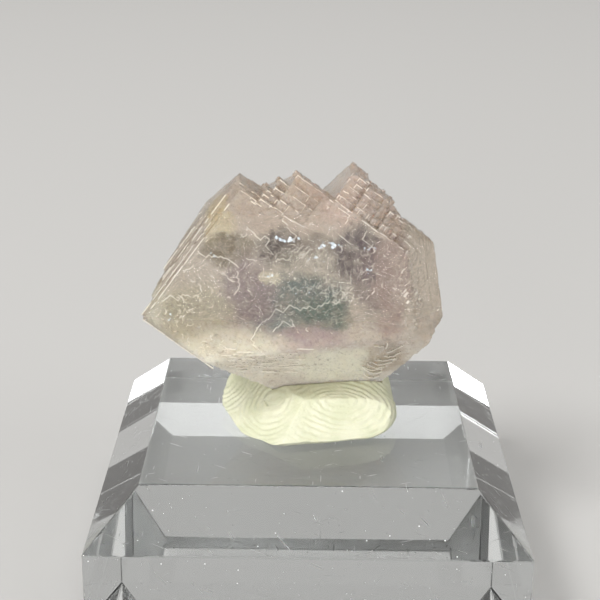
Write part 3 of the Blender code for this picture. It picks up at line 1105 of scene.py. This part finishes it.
def zone_colour(tree, place):
    """The crystal's zoned colour, with painted light in a few of its zones."""
    level = mapped(tree, place, rotation=(0, 0, FACE_ROLL - math.pi / 2))
    shifted = warped(tree, warped(tree, warped(tree, level, 0.45, 2.6), 1.6, 0.8), 5.0, 0.3)
    patchy = noise_value(tree, level, 0.8, 3.0, 0.5)
    colour = srgb(*BODY_COLOUR)
    for zone in ZONES:
        share = inside(tree, shifted, zone.centre, zone.radii)
        patch = map_range(tree, patchy, 0.30, 0.62, 0.7 * zone.strength, zone.strength)
        colour = mix_colour(tree, math_node(tree, "MULTIPLY", share, patch), colour, srgb(*zone.colour))
    for scale, width, share in ((0.55, 0.012, 0.55), (1.3, 0.020, 0.40)):
        waves = noise_value(tree, warped(tree, level, 2.2, 0.5), scale, 2.0, 0.5)
        off = math_node(tree, "ABSOLUTE", math_node(tree, "SUBTRACT", waves, 0.5), 0.0)
        vein = map_range(tree, off, 0.0, width, share, 0.0)
        broken = map_range(tree, noise_value(tree, level, 0.9, 3.0, 0.6), 0.45, 0.60)
        colour = mix_colour(tree, math_node(tree, "MULTIPLY", vein, broken), colour, srgb(250, 244, 232))
    mottle = noise_value(tree, warped(tree, level, 2.0, 0.6), 2.6, 5.0, 0.65)
    colour = mix_colour(tree, map_range(tree, mottle, 0.48, 0.30, 0.0, 0.42), colour, srgb(104, 92, 84))
    colour = mix_colour(tree, map_range(tree, mottle, 0.54, 0.74, 0.0, 0.42), colour, srgb(248, 240, 224))
    behind = map_range(tree, part(tree, level, "Z"), -3.5, -9.0, 0.0, 0.75)
    return level, mix_colour(tree, behind, colour, srgb(250, 243, 233))


def bumped(tree, heights):
    """Bumps laid over each other, each a height value with its size in metres and its strength."""
    under = {}
    for height, distance, strength in heights:
        values = {"Height": height, "Distance": distance, "Strength": strength, **under}
        under = {"Normal": add_node(tree, "ShaderNodeBump", values).outputs["Normal"]}
    return under["Normal"]


def absorbing(tree, colour, density):
    """Light slowly taken up inside a clear body."""
    absorb = add_node(tree, "ShaderNodeVolumeAbsorption", {"Color": colour, "Density": density})
    feed(tree, tree.nodes["Material Output"], {"Volume": absorb.outputs[0]})


def fluorite(tree, shader, values, milkiness=0.0):
    """What all of the crystal's surfaces share, with the values of one of them."""
    feed(tree, shader, {
        "IOR": FLUORITE_IOR, "Subsurface Weight": milkiness, "Subsurface Scale": 1.0,
        "Subsurface Radius": (0.0016, 0.0014, 0.0011), **values})
    absorbing(tree, FLUORITE_TINT, FLUORITE_DENSITY)


def clearness(tree, level):
    """How much light passes: less low down and in the teeth, where the crystal is milky."""
    height = part(tree, level, "Y")
    below = map_range(tree, height, -2.5, -8.0, 0.0, 0.50)
    above = map_range(tree, height, 3.0, 10.0, 0.0, 0.18)
    return math_node(tree, "SUBTRACT", MOST_CLEAR, math_node(tree, "ADD", below, above))


def fluorite_face_material():
    """Etched cube and octahedral faces: glassy, cloudy and zoned in colour."""
    material, tree, shader = new_material("fluorite_face")
    place = crystal_place(tree)
    level, colour = zone_colour(tree, place)
    swell = noise_value(tree, place, 0.55, 2.0, 0.5)
    etched = noise_value(tree, place, 3.2, 5.0, 0.6)
    cells = voronoi(tree, warped(tree, place, 2.5, 0.5), 2.3)
    fine = noise_value(tree, place, 11.0, 3.0, 0.6)
    bumps = ((swell, 0.00040, 1.0), (etched, 0.00014, 0.8), (cells, 0.00011, 0.7), (fine, 0.000008, 0.5))
    fluorite(tree, shader, {
        "Base Color": colour, "Roughness": map_range(tree, etched, 0.35, 0.65, 0.03, 0.14),
        "Transmission Weight": clearness(tree, level), "Normal": bumped(tree, bumps)}, 0.8)
    return material


def fluorite_step_material():
    """The walls of growth steps: more frosted, with fine stripes along them, and painted paler than the
    faces as painted light against the shade that the walls fall in.
    """
    material, tree, shader = new_material("fluorite_step")
    place = crystal_place(tree)
    level, colour = zone_colour(tree, place)
    stripes = noise_value(tree, mapped(tree, place, (0.10, 0.06, 1.5)), 1.0, 4.0, 0.7)
    share = map_range(tree, stripes, 0.50, 0.62)
    # Painted light: the walls are painted pale over most of the crystal, against the shade they fall in,
    # and most of all low down, where they face down. The left strip keeps its darker mauve, and the walls
    # are paler further back.
    for axis, *limits in (("Y", -1.5, -5.0), ("X", -5.5, -4.5, 0.0, 0.85), ("Z", -3.5, -7.5, 0.0, 0.85)):
        share = math_node(tree, "MAXIMUM", share, map_range(tree, part(tree, level, axis), *limits))
    pale = mix_colour(tree, 0.5, colour, srgb(255, 242, 224))
    dark = mix_colour(tree, 0.75, colour, srgb(100, 80, 78))
    grain = noise_value(tree, place, 7.0, 4.0, 0.6)
    fluorite(tree, shader, {
        "Base Color": mix_colour(tree, share, dark, pale),
        "Roughness": map_range(tree, grain, 0.3, 0.7, 0.04, 0.18),
        "Transmission Weight": clearness(tree, level),
        "Normal": bumped(tree, ((stripes, 0.00006, 0.6), (grain, 0.00001, 0.4)))}, 0.4)
    return material


def fluorite_line_material():
    """The thin edges of growth steps, painted pale as painted light so that they show bright even where
    they face away from the lamps and lie in shade.
    """
    material, tree, shader = new_material("fluorite_line")
    colour = mix_colour(tree, 0.6, zone_colour(tree, crystal_place(tree))[1], srgb(252, 246, 232))
    fluorite(tree, shader, {"Base Color": colour, "Transmission Weight": 0.3, "Roughness": 0.22}, 0.3)
    return material


def fluorite_glint_material():
    """Smooth facets that catch the low front lamp, and are painted bluish white as painted highlights too.
    """
    material, tree, shader = new_material("fluorite_glint")
    grain = noise_value(tree, crystal_place(tree), 9.0, 2.0, 0.5)
    fluorite(tree, shader, {
        "Base Color": srgb(214, 228, 238), "Transmission Weight": 0.5,
        "Roughness": map_range(tree, grain, 0.35, 0.65, 0.10, 0.34)})
    return material


def putty_material():
    """Dull off-white putty with a faint grain."""
    material, tree, shader = new_material("putty_detail")
    place = millimetre_place(tree)
    soft = map_range(tree, noise_value(tree, place, 0.5, 4.0, 0.6), 0.35, 0.65)
    grain = noise_value(tree, place, 16.0, 3.0, 0.6)
    feed(tree, shader, {
        "Base Color": mix_colour(tree, soft, srgb(197, 199, 171), srgb(208, 208, 184)),
        "Roughness": map_range(tree, grain, 0.3, 0.7, 0.5, 0.68), "Subsurface Weight": 0.15,
        "Subsurface Radius": (0.0006, 0.0005, 0.0003), "Normal": bumped(tree, ((grain, 0.00002, 0.6),))})
    return material


def acrylic_material():
    """Polished clear acrylic with fine scratches and a few specks."""
    material, tree, shader = new_material("acrylic_detail")
    place = millimetre_place(tree)
    speck = map_range(tree, voronoi(tree, place, 0.8), 0.055, 0.040)
    worn = speck
    for turn, across in ((0.35, 6.0), (1.25, 5.0), (2.2, 7.0)):
        turned = mapped(tree, place, rotation=(0.6, 0.5, turn))
        thread = noise_value(tree, mapped(tree, turned, (across, 0.3, 0.3)), 1.0, 1.0, 0.4)
        worn = math_node(tree, "MAXIMUM", worn, map_range(tree, thread, 0.755, 0.785))
    feed(tree, shader, {
        "Base Color": (0.97, 0.985, 0.985, 1), "IOR": ACRYLIC_IOR,
        "Roughness": map_range(tree, worn, 0.0, 1.0, 0.02, 0.28, False),
        "Transmission Weight": map_range(tree, speck, 0.0, 1.0, 1.0, 0.3, False),
        "Normal": bumped(tree, ((worn, 0.00001, 0.5),))})
    absorbing(tree, (0.90, 0.95, 0.96, 1), 6.0)
    return material


CRYSTAL_MATERIALS = (
    fluorite_face_material(), fluorite_step_material(), fluorite_line_material(), fluorite_glint_material())


# Stage

# Soft lights: place in metres, height that they look at, width, power, and height if not square
LAMPS = (
    ("key", (-0.66, -0.60, 0.98), 0.02, 0.42, 13.2, None),
    ("fill", (1.02, -0.60, 0.62), 0.02, 0.75, 3.2, None),
    ("front", (-0.36, -1.38, 0.12), 0.03, 0.42, 9.9, 0.15),
    ("low", (0.30, -1.02, 0.065), 0.02, 0.66, 1.6, 0.12),
    ("top", (0.12, 0.42, 1.34), 0.02, 0.90, 8.5, None),
)
FLOOR_SIZE = 12.0
FLOOR_DROP = 0.02 * MM
YAW, PITCH, ROLL = math.radians(-0.213), math.radians(19.682), math.radians(0.644)
VIEWPOINT = Vector((-0.502, -125.124, 69.257)) * MM
LENS = 85.97


def floor_material():
    """Plain pale paper."""
    material, tree, shader = new_material("floor")
    feed(tree, shader, {"Base Color": srgb(178, 177, 175), "Roughness": 0.7})
    return material


def area_light(name, place, aim, size, power, height):
    """A soft light that looks at a height over the middle."""
    data = bpy.data.lights.new(name, "AREA")
    data.size = size
    if height:
        data.shape = "RECTANGLE"
        data.size_y = height
    data.energy = power
    lamp = in_scene(name, data)
    lamp.location = place
    lamp.rotation_euler = (Vector((0, 0, aim)) - Vector(place)).to_track_quat("-Z", "Y").to_euler()


def make_stage():
    """A plain pale floor and soft lights."""
    bpy.ops.mesh.primitive_plane_add(size=FLOOR_SIZE, location=(0, 0, -FLOOR_DROP))
    floor = bpy.context.object
    floor.name = "floor"
    floor.data.materials.append(floor_material())
    for lamp in LAMPS:
        area_light(*lamp)
    world = bpy.data.worlds.new("studio")
    world.use_nodes = True
    tree = world.node_tree
    feed(tree, tree.nodes["Background"], {"Color": srgb(211, 209, 206), "Strength": 0.66})
    bpy.context.scene.world = world


def make_camera():
    """The camera in front of the large face, looking down a little."""
    data = bpy.data.cameras.new("camera")
    data.sensor_width = 36.0
    data.lens = LENS
    data.clip_start = 0.01
    camera = in_scene("camera", data)
    ahead = Vector((math.sin(YAW) * math.cos(PITCH), math.cos(YAW) * math.cos(PITCH), -math.sin(PITCH)))
    level = Vector((math.cos(YAW), -math.sin(YAW), 0))
    upward = level.cross(ahead)
    right = math.cos(ROLL) * level + math.sin(ROLL) * upward
    up = -math.sin(ROLL) * level + math.cos(ROLL) * upward
    turn = Matrix((right, up, -ahead)).transposed().to_4x4()
    camera.matrix_world = Matrix.Translation(VIEWPOINT) @ turn
    bpy.context.scene.camera = camera


bpy.context.scene.view_settings.view_transform = "Standard"
make_camera()
make_stage()
make_crystal()
make_putty()
make_base()
